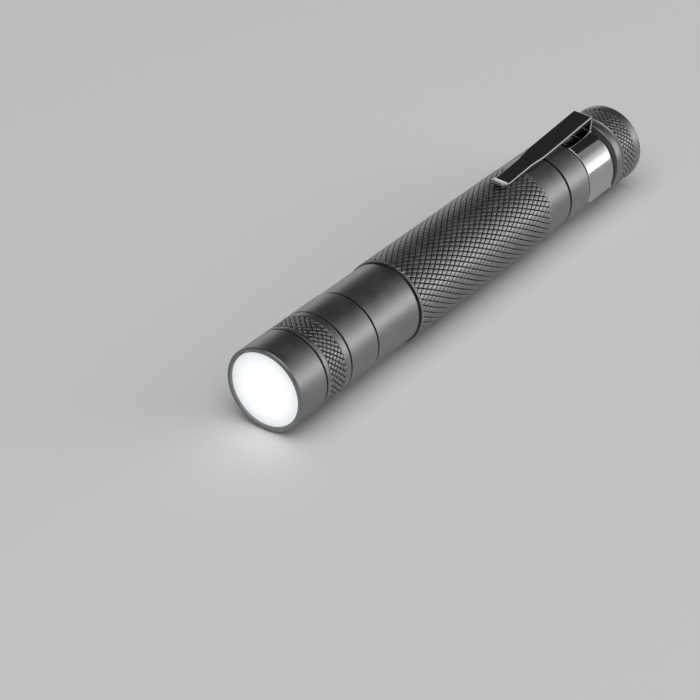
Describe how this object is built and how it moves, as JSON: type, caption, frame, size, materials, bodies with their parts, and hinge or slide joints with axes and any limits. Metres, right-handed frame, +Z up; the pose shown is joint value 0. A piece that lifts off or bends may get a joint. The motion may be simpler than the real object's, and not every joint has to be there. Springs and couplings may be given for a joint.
{
  "type": "penlight",
  "caption": "Slim round pocket torch with a sliding focus head, knurled grip, steel pocket clip, screw-on tail cap and tail push button.",
  "frame": {"origin": "on the surface that the light lies on, under the axis and under the middle of its length", "axes": "+Y along the light from the lens to the tail, +Z up through the clip, +X across"},
  "size_m": [0.0142, 0.101, 0.0171],
  "materials": {
    "anodised": "satin",
    "bare_aluminium": "satin",
    "polished_steel": "polished",
    "spring_steel": "satin",
    "cell_steel": "satin",
    "cell_filling": "matte",
    "brass": "satin",
    "optic": "gloss",
    "led_ceramic": "matte",
    "led_silicone": "gloss",
    "circuit_board": "satin",
    "wire_insulation": "satin",
    "black_plastic": "matte",
    "plunger_plastic": "satin",
    "button_rubber": "matte",
    "rubber": "matte"
  },
  "bodies": {
    "barrel": {"neck": "anodised", "neck_seal": "rubber", "led_pillar": "bare_aluminium", "led_board": "circuit_board", "led_package": "led_ceramic", "led_dome": "led_silicone", "led_wires": "wire_insulation", "driver_board": "circuit_board", "driver_components": "black_plastic", "driver_ring": "brass", "positive_contact": "brass", "body_seal": "rubber", "body_tube": "anodised", "cell_cap": "cell_steel", "cell_insulator": "black_plastic", "cell_can": "cell_steel", "cell_core": "cell_filling", "tail_seal": "rubber"},
    "focus_head": {"bezel": "anodised", "lens_seal": "rubber", "lens": "optic", "head_shell": "anodised", "head_stop_ring": "brass"},
    "clip_ring": {"clip_band": "polished_steel"},
    "clip_lever": {"clip_arm": "polished_steel"},
    "tail_spring": {"negative_spring": "spring_steel"},
    "tail": {"switch_ring": "brass", "switch_contact": "brass", "switch_housing": "black_plastic", "switch_spring": "spring_steel", "tail_cap": "anodised"},
    "button": {"switch_plunger": "plunger_plastic", "tail_button": "button_rubber", "button_seal": "rubber"}
  },
  "joints": [
    {"name": "focus_slide", "type": "slide", "parent": "barrel", "child": "focus_head", "axis": [0, -1, 0], "range_m": [0, 0.005]},
    {"name": "clip_turn", "type": "hinge", "parent": "barrel", "child": "clip_ring", "pos_m": [0, 0.03578, 0.00715], "axis": [0, 1, 0], "continuous": true},
    {"name": "clip_flex", "type": "hinge", "parent": "clip_ring", "child": "clip_lever", "pos_m": [0.00049, 0.0394, 0.01423], "axis": [-0.9976, 0, 0.0698], "range_deg": [0, 5], "stiffness_Nm_per_rad": 0.8},
    {"name": "tail_cap_travel", "type": "slide", "parent": "barrel", "child": "tail_spring", "axis": [0, 1, 0], "range_m": [0, 0.00481]},
    {"name": "tail_cap_turn", "type": "hinge", "parent": "tail_spring", "child": "tail", "pos_m": [0, 0.0454, 0.00715], "axis": [0, 1, 0], "range_deg": [0, 2160]},
    {"name": "button_press", "type": "slide", "parent": "tail", "child": "button", "axis": [0, -1, 0], "range_m": [0, 0.0015], "stiffness_N_per_m": 1500, "deforming": ["switch_spring"]}
  ],
  "couplings": [
    {"joint": "tail_cap_travel", "follows": "tail_cap_turn", "m_per_rad": 0.00012732}
  ]
}
